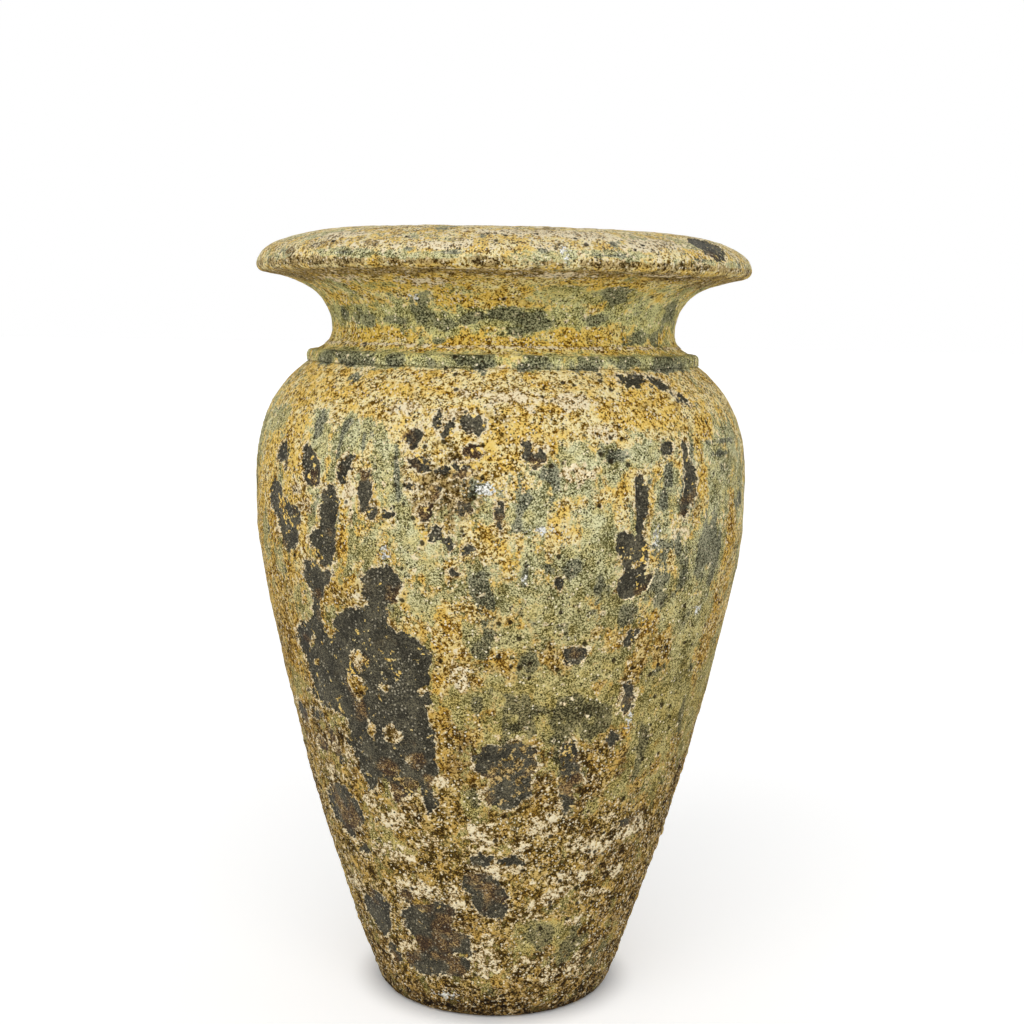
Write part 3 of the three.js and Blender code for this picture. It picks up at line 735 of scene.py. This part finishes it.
def spaced(start, end):
    """Distances along the section from one to another, close together where the skin shows."""
    runs = [start]
    while runs[-1] < end:
        run = runs[-1]
        if section.begin["foot"] <= run < CROWN_RUN:
            step = FINE_ROW
        elif CROWN_RUN <= run < section.end["gullet"]:
            step = MOUTH_ROW
        else:
            step = INSIDE_ROW
        runs.append(run + step)
    runs = np.array(runs)
    return start + (runs - start) * (end - start) / (runs[-1] - start)


def ring_runs(below, above):
    """The ring's section as distances along the skin, and the rows where a joint makes a sharp edge."""
    if above is None:
        runs = spaced(below[0], below[1])
        return runs, [0, len(runs) - 1]
    outside = spaced(below[0], above[0])
    inside = spaced(above[1], below[1])
    runs = np.concatenate([outside, inside])
    return runs, [0, len(outside) - 1, len(outside), len(runs) - 1]


def write_values(mesh, name, values):
    kind, key = ("FLOAT", "value") if values.ndim == 1 else ("FLOAT_VECTOR", "vector")
    mesh.attributes.new(name, kind, "POINT").data.foreach_set(key, values.astype(np.float32).ravel())


def join_on_axis(mesh):
    """Joins the vertices that lie on the axis, so that the first and last rows end in one point."""
    shape = bmesh.new()
    shape.from_mesh(mesh)
    on_axis = [vertex for vertex in shape.verts if vertex.co.xy.length < AXIS_REACH]
    bmesh.ops.remove_doubles(shape, verts=on_axis, dist=AXIS_REACH)
    shape.to_mesh(mesh)
    shape.free()


def unwrap(mesh, points, runs, row, column):
    """A bake map of the ring: strips of its circumference, one above the other."""
    outside = runs < CROWN_RUN + MOUTH_SHOWS
    lengths = np.linalg.norm(np.diff(points, axis=0, append=points[:1]), axis=1)
    lengths *= np.where(outside, 1, INSIDE_MAP_SHARE)
    upward = np.concatenate([[0], np.cumsum(lengths)])
    girth = 2 * math.pi * points[:, 0].max()
    strips = max(1, round(math.sqrt(girth / upward[-1])))
    width = COLUMNS / strips
    strip = column // width
    width_left = 1 - 2 * MAP_MARGIN
    corner_columns = np.stack([column, column + 1, column + 1, column], axis=2)
    corner_rows = np.stack([row, row, row + 1, row + 1], axis=2)
    u = (corner_columns - strip[:, :, None] * width) / width
    v = (strip[:, :, None] + MAP_MARGIN + width_left * upward[corner_rows] / upward[-1]) / strips
    places = np.stack([MAP_MARGIN + width_left * u, v], axis=3)
    mesh.uv_layers.new(name="OFBake").data.foreach_set("uv", places.astype(np.float32).ravel())


def ring_mesh(name, below, above):
    """The closed skin of a ring between two joints, with the weathering written on its vertices."""
    runs, corners = ring_runs(below, above)
    points, normals = section.at(runs)
    reaches_axis = below is START_CUT
    azimuth = np.arange(COLUMNS) * 360 / COLUMNS - 180
    sine, cosine = np.sin(np.radians(azimuth)), -np.cos(np.radians(azimuth))

    def around(radius, height):
        turned = [radius[:, None] * sine, radius[:, None] * cosine, height[:, None] + 0 * sine]
        return np.stack(turned, axis=2).reshape(-1, 3)

    places = around(points[:, 0], points[:, 1])
    rows = len(runs)
    face_rows = rows - 1 if reaches_axis else rows
    row, column = np.meshgrid(np.arange(face_rows), np.arange(COLUMNS), indexing="ij")
    next_row, next_column = (row + 1) % rows, (column + 1) % COLUMNS
    corners_of_face = [(row, column), (row, next_column), (next_row, next_column), (next_row, column)]
    faces = np.stack([r * COLUMNS + c for r, c in corners_of_face], axis=2).reshape(-1, 4)

    mesh = bpy.data.meshes.new(name)
    mesh.from_pydata(places * MM, [], faces.tolist())
    radius = np.hypot(places[:, 0], places[:, 1])
    fields = weathering(name, np.tile(azimuth, rows), places[:, 2], radius, np.repeat(runs, COLUMNS))
    for field, values in fields.items():
        write_values(mesh, field, values)
    write_values(mesh, "rest", places)
    write_values(mesh, "outward", around(normals[:, 0], normals[:, 1]))
    unwrap(mesh, points, runs, row, column)

    mesh.polygons.foreach_set("use_smooth", np.ones(len(mesh.polygons), bool))
    ends = np.empty(len(mesh.edges) * 2, int)
    mesh.edges.foreach_get("vertices", ends)
    edge_rows = ends.reshape(-1, 2) // COLUMNS
    sharp = (edge_rows[:, 0] == edge_rows[:, 1]) & np.isin(edge_rows[:, 0], corners)
    mesh.attributes.new("sharp_edge", "BOOLEAN", "EDGE").data.foreach_set("value", sharp)
    if reaches_axis:
        join_on_axis(mesh)
    return mesh


# Short names for nodes, the same in a geometry tree and in a material

NOISE_FADE = 0.55
NOISE_SPREAD = 0.132
CHANCE_SPREAD = math.sqrt(1 / 12)
DOT_CORE = 0.6
SHADE_PLACES = (-0.33, -0.15, 0, 0.15, 0.33)


def colour(code):
    """A colour written as in a paint program, as the linear values of a node."""
    parts = [int(code[i : i + 2], 16) / 255 for i in (1, 3, 5)]
    return (*(p / 12.92 if p < 0.04045 else ((p + 0.055) / 1.055) ** 2.4 for p in parts), 1)


class Graph:
    """Makes and links the nodes of a tree."""

    def __init__(self, tree):
        self.tree = tree
        self.shading = tree.bl_idname == "ShaderNodeTree"

    def node(self, kind, values=(), **settings):
        """A node with its settings, and its first inputs set or linked in order."""
        made = self.tree.nodes.new(kind)
        for setting, value in settings.items():
            setattr(made, setting, value)
        for socket, value in zip(made.inputs, values):
            self.put(socket, value)
        return made

    def put(self, socket, value):
        if isinstance(value, bpy.types.NodeSocket):
            self.tree.links.new(value, socket)
        else:
            socket.default_value = value

    def field(self, name, vector=False):
        """A value that was written on the mesh."""
        if self.shading:
            made = self.node("ShaderNodeAttribute", attribute_name=name)
            return made.outputs["Vector" if vector else "Fac"]
        kind = "FLOAT_VECTOR" if vector else "FLOAT"
        return self.node("GeometryNodeInputNamedAttribute", [name], data_type=kind).outputs[0]

    def math(self, operation, *values):
        return self.node("ShaderNodeMath", values, operation=operation).outputs[0]

    def add(self, first, *others):
        total = first
        for value in others:
            total = self.math("ADD", total, value)
        return total

    def times(self, *values):
        product = values[0]
        for value in values[1:]:
            product = self.math("MULTIPLY", product, value)
        return product

    def less(self, share):
        """What is left of one."""
        return self.math("SUBTRACT", 1, share)

    def rise(self, value, low, high, start=0.0, end=1.0):
        """A smooth step from start to end as a value goes from low to high."""
        values = [value, low, high, start, end]
        return self.node("ShaderNodeMapRange", values, interpolation_type="SMOOTHSTEP").outputs[0]

    def vector(self, operation, *values):
        return self.node("ShaderNodeVectorMath", values, operation=operation).outputs[0]

    def texture(self, kind, place, size, **inputs):
        made = self.node(kind)
        self.put(made.inputs["Vector"], place)
        made.inputs["Scale"].default_value = 1 / size
        for name, value in inputs.items():
            made.inputs[name].default_value = value
        return made

    def noise(self, place, size, detail=1, spread=1.0):
        """Noise about zero with a standard spread, and features of a size in millimetres."""
        made = self.texture("ShaderNodeTexNoise", place, size, Detail=detail, Roughness=NOISE_FADE)
        octaves = [NOISE_FADE**i for i in range(detail + 1)]
        factor = spread * sum(octaves) / (NOISE_SPREAD * math.hypot(*octaves))
        return self.math("MULTIPLY_ADD", made.outputs[0], factor, -factor / 2)

    def grains(self, place, size, spread):
        """Grains of a size, each of one value, about zero with a standard spread."""
        made = self.texture("ShaderNodeTexVoronoi", place, size)
        chance = self.node("ShaderNodeSeparateXYZ", [made.outputs["Color"]]).outputs[0]
        factor = spread / CHANCE_SPREAD
        return self.math("MULTIPLY_ADD", chance, factor, -factor / 2)

    def wobbled(self, place, size, swing):
        """Places pushed about by up to half a swing, so that round things grow uneven."""
        made = self.texture("ShaderNodeTexNoise", place, size)
        push = self.vector("MULTIPLY_ADD", made.outputs[1], (swing,) * 3, (-swing / 2,) * 3)
        return self.vector("ADD", place, push)

    def dots(self, place, size, share, reach):
        """Round spots in a share of the cells of a size: 1 at the middle of a spot."""
        made = self.texture("ShaderNodeTexVoronoi", place, size)
        chance = self.node("ShaderNodeSeparateXYZ", [made.outputs["Color"]]).outputs[0]
        chosen = self.math("LESS_THAN", chance, share)
        return self.times(chosen, self.rise(made.outputs["Distance"], reach, reach * DOT_CORE))

    def shades(self, value, codes):
        """Five shades of a finish, from its darkest grains to its lightest, over a value of spread 0.2."""
        ramp = self.node("ShaderNodeValToRGB", [self.math("ADD", value, 0.5)])
        elements = ramp.color_ramp.elements
        while len(elements) < len(codes):
            elements.new(0.5)
        for element, place, code in zip(elements, SHADE_PLACES, codes):
            element.position = place + 0.5
            element.color = colour(code)
        return ramp.outputs[0]

    def mix(self, share, under, over, blend="MIX"):
        made = self.node("ShaderNodeMix", data_type="RGBA", blend_type=blend)
        for socket, value in ((0, share), (6, under), (7, over)):
            self.put(made.inputs[socket], value)
        return made.outputs[2]

    def stain(self, share, under, code):
        """A colour seen through a thin stain."""
        return self.mix(share, under, colour(code), "MULTIPLY")


# The weathering itself, shared by the relief and the colours

# Heights where a change of the finish, or of the painted light and shade, begins and where it is complete
FOOT_PAINTED_SHADE_HEIGHTS = (26, 2)
CRUST_GROWS_LUMPY = (420, 200)
CRUST_BROWNS = (520, 220)
SKIN_AGES = (560, 330)
BELLY_PAINTED_LIGHT = (420, 560)
SHOULDER_PAINTED_LIGHT = (500, 630)
STREAKS_TURN = (660, 700)
NECK_BEGINS = (664, 680)
NECK_SHARPENS = (664, 690)
NECK_PAINTED_LIGHT = (684, 700)
NECK_ENDS = (770, 745)
RIM_PALES = (760, 780)
RIM_SPECKLES = (760, 785)
PAINTED_RIM_LIGHT_HEIGHTS = (768, 785)
RIM_TOP_PAINTED_LIGHT = (772, 790)

# Sizes of features
SILT_SIZE = 1.0
SAND_SIZE = 1.3
GRIT_SIZE = 4
FLECK_SIZE = 3.2
PORE_SIZE = 3.4
CLUMP_SIZE = 9
PIT_SIZE = 9
LUMP_SIZE = 12

# Heights of the relief
SWELL = 0.4
CRUST_HEIGHT = 0.3
PALE_HEIGHT = 0.5
LIP_HEIGHT = 0.5
FLAKE_CUT = 1.0
PIT_CUT = 1.2


def height_of(g, place):
    return g.node("ShaderNodeSeparateXYZ", [place]).outputs[2]


def flake_depth(g, place):
    """How far inside a flake a place lies, in millimetres, with a ragged edge."""
    ragged = g.add(g.noise(place, 22, 2, spread=1.1), g.noise(place, 6, 3, spread=1.15))
    return g.add(g.field("flaked"), ragged, 0.6)


def streaks(g, place):
    """Runs of glaze, down the body and around the neck."""
    down = g.noise(g.vector("MULTIPLY", place, (1, 1, 0.14)), 12, 3, spread=0.3)
    around = g.noise(g.vector("MULTIPLY", place, (0.2, 0.2, 1)), 9, 3, spread=0.3)
    on_neck = g.rise(height_of(g, place), *STREAKS_TURN)
    return g.add(g.times(down, g.less(on_neck)), g.times(around, on_neck))


def crust_cover(g, place, grain):
    """Above zero where crust lies on the glaze."""
    patches = g.add(g.noise(place, 26, 4, spread=0.27), g.noise(place, 8, 3, spread=0.14))
    return g.add(g.field("crusted"), patches, g.times(streaks(g, place), 0.7), grain)


def lumps(g, place):
    return g.noise(place, LUMP_SIZE, 3, spread=0.2)


def clumps(g, place):
    """1 on the clumps of thick crust and 0 in the gaps between them."""
    made = g.texture("ShaderNodeTexVoronoi", g.wobbled(place, 7, 7), CLUMP_SIZE)
    return g.rise(made.outputs["Distance"], 0.62, 0.25)


def large_pits(g, place):
    many = g.rise(g.field("pitted"), 0, 1, 0.04, 0.4)
    return g.dots(g.wobbled(place, 5, 3), PIT_SIZE, many, 0.34)


def relief_tree():
    """Moves the skin of a ring along its normals by the height of its crust."""
    tree = bpy.data.node_groups.new("crust_relief", "GeometryNodeTree")
    for way in ("INPUT", "OUTPUT"):
        tree.interface.new_socket("Geometry", in_out=way, socket_type="NodeSocketGeometry")
    g = Graph(tree)
    place = g.field("rest", vector=True)
    height = height_of(g, place)
    depth = flake_depth(g, place)
    bare = g.rise(depth, -0.8, 0.8)
    lip = g.times(g.rise(depth, -5, -1), g.less(bare))
    covered = g.rise(crust_cover(g, place, 0), -0.3, 0.3)
    lumpy = g.rise(height, *CRUST_GROWS_LUMPY, 0.7, 1.8)
    clumped = g.rise(height, *CRUST_GROWS_LUMPY, 0.1, 0.8)
    crust = g.add(
        g.times(covered, g.add(CRUST_HEIGHT, g.times(lumps(g, place), lumpy))),
        g.times(covered, clumps(g, place), clumped),
        g.times(g.field("pale"), PALE_HEIGHT),
        g.times(lip, LIP_HEIGHT),
    )
    rise = g.add(
        g.noise(place, 90, 2, spread=SWELL),
        g.times(crust, g.less(g.times(bare, 0.85))),
        g.times(bare, -FLAKE_CUT),
        g.times(large_pits(g, place), -PIT_CUT),
    )
    offset = g.node("ShaderNodeVectorMath", [g.field("outward", vector=True)], operation="SCALE")
    g.put(offset.inputs["Scale"], g.times(rise, g.field("relief"), MM))
    start = g.node("NodeGroupInput")
    moved = g.node("GeometryNodeSetPosition")
    g.put(moved.inputs["Geometry"], start.outputs[0])
    g.put(moved.inputs["Offset"], offset.outputs[0])
    g.node("NodeGroupOutput", [moved.outputs[0]])
    return tree


# Five shades of each finish, from its darkest grains to its lightest
GOLD_CRUST = ("#6a4d10", "#ae8f46", "#dec178", "#f4da92", "#fff0b8")
BROWN_CRUST = ("#40320e", "#705c2a", "#99854c", "#bca76b", "#e8d298")
# Dirty crust, also used for the painted shade along the edge of the rim
DIRTY_AND_SHADED_CRUST = ("#2a1d06", "#463518", "#634e29", "#866e42", "#bfa36c")
# Pale crust, also used for the painted highlight along the top edge of the collar
PALE_CRUST_AND_HIGHLIGHT = ("#664d1c", "#a68a54", "#d6bc8a", "#f0d9aa", "#fff0ca")
GLAZE = ("#524f2a", "#858259", "#a7a477", "#c1be90", "#dfdbae")
SMEAR = ("#26271e", "#3f4034", "#57594a", "#747561", "#9f9d82")
BODY = ("#242117", "#343127", "#3f3c31", "#4a473b", "#67614d")
RED_BODY = ("#281a0e", "#3a2918", "#4a3826", "#604a30", "#9c8052")
LIME = ("#8a887c", "#c4c1b4", "#dddace", "#ecebe2", "#f8f7f2")
RAW_CLAY = ("#382d1a", "#54462c", "#6e5d3b", "#88754e", "#a89264")
OCHRE_STAIN = "#f8e4a6"
AGE_STAIN = "#efe2c0"
NECK_STAIN = "#fdfde4"
# The next colour is painted shade, darkening the foot towards the floor
FOOT_PAINTED_SHADE = "#77684c"
FLECK = "#fff3d2"
# The next colour is painted light on the top of the rim
PAINTED_RIM_LIGHT = "#f6ecd0"
PORE = "#33260c"
PIT = "#241b0a"

FLECKS_ASIDE = (37, 11, 53)
Grain = namedtuple("Grain", "silt grit tone fine rough clump")


def grain_of(g, place, height):
    """Grains of several sizes about zero, and the fine and rough sums of them that crust takes; the sums
    also carry painted light and painted shade.
    """
    silt = g.grains(place, SILT_SIZE, spread=0.4)
    sand = g.grains(place, SAND_SIZE, spread=0.32)
    grit = g.noise(place, GRIT_SIZE, 4, spread=0.25)
    # The tone differs at random. It is also painted lighter on the upper belly and from the neck up, most
    # for the neck in the rim's shade: painted light.
    tone = g.add(
        g.noise(place, 24, 3, spread=0.09),
        g.rise(height, *BELLY_PAINTED_LIGHT, 0, 0.03),
        g.rise(height, *NECK_PAINTED_LIGHT, 0, 0.08),
    )
    # Painted light: the crust is painted lighter on the shoulder and on the top of the rim, which face the
    # light from above.
    painted_top_light = g.add(g.rise(height, *SHOULDER_PAINTED_LIGHT, 0, 0.12), g.rise(height, *RIM_TOP_PAINTED_LIGHT, 0, 0.1))
    fine = g.add(g.times(sand, g.rise(height, *NECK_SHARPENS, 1, 1.25)), grit, tone, painted_top_light)
    clump = g.math("SUBTRACT", clumps(g, place), 0.5)
    # The rough sum follows the lumps and clumps of the relief: the crust is painted lighter on them and
    # darker between them, as painted shade in the hollows.
    rough = g.add(g.times(fine, 0.8), g.times(lumps(g, place), 0.46), g.times(clump, 0.27), 0.02)
    return Grain(silt, grit, tone, fine, rough, clump)


def smeared_glaze(g, place, grain, ochre):
    """The colour of the glaze with its dark smears, and how much the smears cover."""
    streak = streaks(g, place)
    depth = g.add(g.field("smeared"), g.times(streak, 0.5), g.noise(place, 20, 4, spread=0.24))
    smear = g.rise(depth, 0.34, 0.8, 0, 0.92)
    # The tone brings the painted light of the belly and the neck into the glaze too.
    shade = g.add(g.times(grain.silt, 0.75), g.times(grain.grit, 0.14), g.times(streak, 0.2), grain.tone)
    glaze = g.mix(smear, g.shades(shade, GLAZE), g.shades(shade, SMEAR))
    return g.stain(g.times(ochre, g.less(smear), 0.45), glaze, OCHRE_STAIN), smear


def sand_crust(g, place, grain, ochre, low):
    """The colour of the crust: gold above, brown low down, and dirty in patches, one of them painted shade
    along the edge of the rim.
    """
    gold = g.stain(ochre, g.shades(grain.fine, GOLD_CRUST), OCHRE_STAIN)
    brown = g.stain(g.times(ochre, 0.6), g.shades(grain.rough, BROWN_CRUST), OCHRE_STAIN)
    # Dirty crust in patches; the ring along the edge of the rim is painted shade.
    dirt_and_shade = g.rise(g.add(g.field("browned"), g.noise(place, 18, 3, spread=0.25)), 0.25, 0.9, 0, 0.85)
    return g.mix(dirt_and_shade, g.mix(low, gold, brown), g.shades(grain.rough, DIRTY_AND_SHADED_CRUST))


def crusted_glaze(g, place, height, grain):
    """The colour of the skin where it has not flaked, the crust's own, and how much the crust covers."""
    ochre = g.rise(g.add(g.noise(place, 14, 2, spread=0.2), g.times(g.field("rusty"), 0.35)), -0.2, 0.35)
    low = g.rise(g.add(height, g.noise(place, 70, 3, spread=45)), *CRUST_BROWNS)
    glaze, smear = smeared_glaze(g, place, grain, ochre)
    crust = sand_crust(g, place, grain, ochre, low)
    # Pale crust is real, and it gathers on the raised clumps, which also paints light on them.
    uneven = g.add(g.noise(place, 8, 3, spread=0.25), g.times(grain.clump, 0.5))
    pale = g.rise(g.add(g.field("pale"), g.add(uneven, g.rise(height, *RIM_PALES, 0, 0.4))), 0.4, 0.9)
    cover = g.add(crust_cover(g, place, g.times(grain.fine, 0.25)), g.times(smear, -0.8), g.times(pale, 0.8))
    covered = g.rise(cover, -0.2, 0.2)
    skin = g.mix(covered, glaze, crust)
    on_neck = g.times(g.rise(height, *NECK_BEGINS), g.rise(height, *NECK_ENDS))
    skin = g.stain(on_neck, skin, NECK_STAIN)
    skin = g.stain(g.rise(height, *SKIN_AGES), skin, AGE_STAIN)
    # Pale crust, and the painted highlight along the top edge of the collar.
    skin = g.mix(pale, skin, g.shades(grain.rough, PALE_CRUST_AND_HIGHLIGHT))
    vein = g.rise(g.math("ABSOLUTE", g.noise(place, 12, 2, spread=0.2)), 0.045, 0.015)
    skin = g.mix(g.times(vein, low, covered, 0.6), skin, g.shades(grain.fine, PALE_CRUST_AND_HIGHLIGHT))
    return skin, crust, covered


def speckles(g, place, height, covered):
    """Pale flecks and dark pores, crowded in places; fewer flecks where the glaze shows."""
    shaken = g.wobbled(place, 2.2, 2.2)
    crowded = g.add(
        g.rise(g.noise(place, 20, 2, spread=0.2), -0.3, 0.4, 0.12, 0.55),
        g.rise(height, *RIM_SPECKLES, 0, 0.2),
    )
    share_of_flecks = g.times(crowded, g.add(0.3, covered))
    flecks = g.dots(g.vector("ADD", shaken, FLECKS_ASIDE), FLECK_SIZE, share_of_flecks, 0.4)
    pores = g.dots(shaken, PORE_SIZE, crowded, 0.36)
    return flecks, pores


def bare_clay(g, place, grain, flecks, crust):
    """The dark clay in the flakes, red in places, with flecks and with crumbs of crust left on it."""
    red = g.rise(g.add(g.noise(place, 34, 2, spread=0.2), g.times(g.field("browned"), 0.35)), 0.22, 0.5)
    shade = g.add(g.times(grain.silt, 0.6), g.noise(place, 18, 2, spread=0.1))
    clay = g.mix(red, g.shades(shade, BODY), g.shades(shade, RED_BODY))
    clay = g.mix(g.times(flecks, 0.3), clay, colour(FLECK))
    crumbs = g.add(
        g.noise(place, 7, 3, spread=0.2),
        g.noise(place, 28, 2, spread=0.1),
        g.times(grain.fine, 0.3),
        g.times(g.field("crumbled"), 0.38),
    )
    return g.mix(g.rise(crumbs, 0.54, 0.66), clay, crust)


def stoneware():
    """The finish: crusted glaze with specks, flaked to the clay, with lime, pits and a raw inside."""
    material = bpy.data.materials.new("weathered_stoneware")
    material.use_nodes = True
    g = Graph(material.node_tree)
    place = g.field("rest", vector=True)
    height = height_of(g, place)
    grain = grain_of(g, place, height)

    skin, crust, covered = crusted_glaze(g, place, height, grain)
    flecks, pores = speckles(g, place, height, covered)
    skin = g.mix(g.times(flecks, 0.85), skin, colour(FLECK))
    skin = g.mix(g.times(pores, 0.95), skin, colour(PORE))
    # Painted light: the top of the rim is painted paler, as lit from above.
    skin = g.mix(g.rise(height, *PAINTED_RIM_LIGHT_HEIGHTS, 0, 0.1), skin, colour(PAINTED_RIM_LIGHT))
    # Painted shade: the skin darkens towards the floor, where the foot meets its contact shadow.
    over_ground = g.add(height, g.noise(place, 16, 2, spread=7))
    skin = g.stain(g.rise(over_ground, *FOOT_PAINTED_SHADE_HEIGHTS, 0, 0.8), skin, FOOT_PAINTED_SHADE)

    depth = flake_depth(g, place)
    bare = g.rise(depth, -0.4, 0.4)
    broken = g.rise(g.noise(place, 13, 2, spread=0.2), -0.25, 0.0)
    lip = g.times(g.rise(depth, -3.2, -1.2), broken, 0.95)
    skin = g.mix(lip, skin, g.shades(g.add(grain.fine, 0.12), PALE_CRUST_AND_HIGHLIGHT))
    skin = g.mix(bare, skin, bare_clay(g, place, grain, flecks, crust))

    lime = g.rise(g.add(g.field("limed"), g.noise(place, 3.5, 2, spread=2.6)), 0.2, 1.4)
    skin = g.mix(lime, skin, g.shades(grain.fine, LIME))
    pits = g.times(large_pits(g, place), g.less(bare))
    skin = g.mix(g.times(pits, 0.9), skin, colour(PIT))

    thrown = g.noise(g.vector("MULTIPLY", place, (1, 1, 6)), 70, 3, spread=0.14)
    raw = g.rise(g.add(g.field("raw"), g.noise(place, 30, 3, spread=0.1)), 0.15, 0.85)
    skin = g.mix(raw, skin, g.shades(g.add(g.times(grain.fine, 0.5), thrown), RAW_CLAY))

    coarseness = g.times(g.rise(covered, 0, 1, 0.5, 1.8), g.less(g.times(bare, 0.8)))
    bumps = g.add(
        g.times(grain.grit, coarseness),
        g.times(flecks, 0.3),
        g.times(pores, -0.6),
        g.times(pits, -0.9),
    )
    bump = g.node("ShaderNodeBump")
    bump.inputs["Distance"].default_value = MM
    g.put(bump.inputs["Height"], bumps)
    shader = material.node_tree.nodes["Principled BSDF"]
    shader.inputs["Specular IOR Level"].default_value = 0.12
    g.put(shader.inputs["Base Color"], skin)
    g.put(shader.inputs["Roughness"], g.rise(bare, 0, 1, 0.9, 0.62))
    g.put(shader.inputs["Normal"], bump.outputs[0])
    return material


def build_vase():
    """One skin for each ring, with the relief made part of its mesh."""
    relief = relief_tree()
    finish = stoneware()
    for node, (below, above) in RINGS.items():
        piece = bpy.data.objects.new("skin_" + node, ring_mesh(node, below, above))
        bpy.context.scene.collection.objects.link(piece)
        piece.modifiers.new("relief", "NODES").node_group = relief
        graph = bpy.context.evaluated_depsgraph_get()
        moved = bpy.data.meshes.new_from_object(
            piece.evaluated_get(graph), preserve_all_data_layers=True, depsgraph=graph
        )
        piece.modifiers.clear()
        piece.data = moved
        moved.materials.clear()
        moved.materials.append(finish)
        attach(piece, "root")
        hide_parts(node)


# Stage, light and camera, in metres and degrees; the sensor and the lens in millimetres

FLOOR_HALF_WIDTH = 40.0
FLOOR_LIGHTNESS = 0.93
FLOOR_GLOW = 0.34
PAINTED_SHADOW_WIDTH = 0.045
SKY_TURNS = (0.25, 0.8)
SKY_AT_SIDES = 0.9
SKY_OVERHEAD = 0.35
LAMP_WIDTH = 70
LAMP_POWER = 1.45
LAMP_TILT = 54
LAMP_TURN = -8
SENSOR_WIDTH = 36
LENS = 56.44
CAMERA_DISTANCE = 1.7008
CAMERA_HEIGHT = 0.7154
CAMERA_PITCH = 6.884
CAMERA_YAW = 0.413
CAMERA_ROLL = 1.003


def seen_directly(g):
    """1 for the rays that show the background: to the camera, in reflections and through glass."""
    path = g.node("ShaderNodeLightPath")
    seen = g.math("MAXIMUM", path.outputs["Is Camera Ray"], path.outputs["Is Glossy Ray"])
    return g.math("MAXIMUM", seen, path.outputs["Is Transmission Ray"])


def floor():
    """A wide pale floor that looks white to the camera out to the horizon, and keeps the shadow; the glow
    fades out near the foot, which paints a ring of shadow around it.
    """
    half = FLOOR_HALF_WIDTH
    corners = [(-half, -half, 0), (half, -half, 0), (half, half, 0), (-half, half, 0)]
    mesh = bpy.data.meshes.new("floor")
    mesh.from_pydata(corners, [], [(0, 1, 2, 3)])
    ground = bpy.data.objects.new("floor", mesh)
    bpy.context.scene.collection.objects.link(ground)
    paint = bpy.data.materials.new("floor_paint")
    paint.use_nodes = True
    g = Graph(paint.node_tree)
    shader = paint.node_tree.nodes["Principled BSDF"]
    shader.inputs["Base Color"].default_value = (*[FLOOR_LIGHTNESS] * 3, 1)
    shader.inputs["Roughness"].default_value = 0.9
    shader.inputs["Emission Color"].default_value = (1, 1, 1, 1)
    place = g.node("ShaderNodeNewGeometry").outputs["Position"]
    from_axis = g.node("ShaderNodeVectorMath", [place], operation="LENGTH").outputs["Value"]
    foot = STANDING_RADIUS * MM
    # Painted shadow: the glow fades out near the foot, which darkens a ring of floor around it over the real
    # contact shadow.
    glow_clear_of_painted_shadow = g.rise(from_axis, foot, foot + PAINTED_SHADOW_WIDTH)
    g.put(shader.inputs["Emission Strength"], g.times(seen_directly(g), glow_clear_of_painted_shadow, FLOOR_GLOW))
    mesh.materials.append(paint)


def light():
    """A white studio, and one wide lamp high on the camera's side."""
    world = bpy.data.worlds.new("studio")
    bpy.context.scene.world = world
    world.use_nodes = True
    g = Graph(world.node_tree)
    ground = world.node_tree.nodes["Background"]
    ground.inputs["Color"].default_value = (1, 1, 1, 1)
    upward = height_of(g, g.node("ShaderNodeTexCoord").outputs["Generated"])
    bright = g.rise(upward, *SKY_TURNS, SKY_AT_SIDES, SKY_OVERHEAD)
    g.put(ground.inputs["Strength"], g.math("MAXIMUM", bright, seen_directly(g)))
    sky = bpy.data.lights.new("sky_box", "SUN")
    sky.angle = math.radians(LAMP_WIDTH)
    sky.energy = LAMP_POWER
    lamp = bpy.data.objects.new("sky_box", sky)
    bpy.context.scene.collection.objects.link(lamp)
    lamp.rotation_euler = (math.radians(LAMP_TILT), 0, math.radians(LAMP_TURN))


def camera():
    """The camera that was fitted to the outline in the photo."""
    data = bpy.data.cameras.new("camera")
    data.sensor_width = SENSOR_WIDTH
    data.lens = LENS
    made = bpy.data.objects.new("camera", data)
    bpy.context.scene.collection.objects.link(made)
    pitch, yaw, roll = map(math.radians, (CAMERA_PITCH, CAMERA_YAW, CAMERA_ROLL))
    made.matrix_world = (
        Matrix.Translation((0, -CAMERA_DISTANCE, CAMERA_HEIGHT))
        @ Matrix.Rotation(-yaw, 4, "Z")
        @ Matrix.Rotation(math.pi / 2 - pitch, 4, "X")
        @ Matrix.Rotation(roll, 4, "Z")
    )
    bpy.context.scene.camera = made


bpy.context.scene.view_settings.view_transform = "Standard"
build_vase()
floor()
light()
camera()
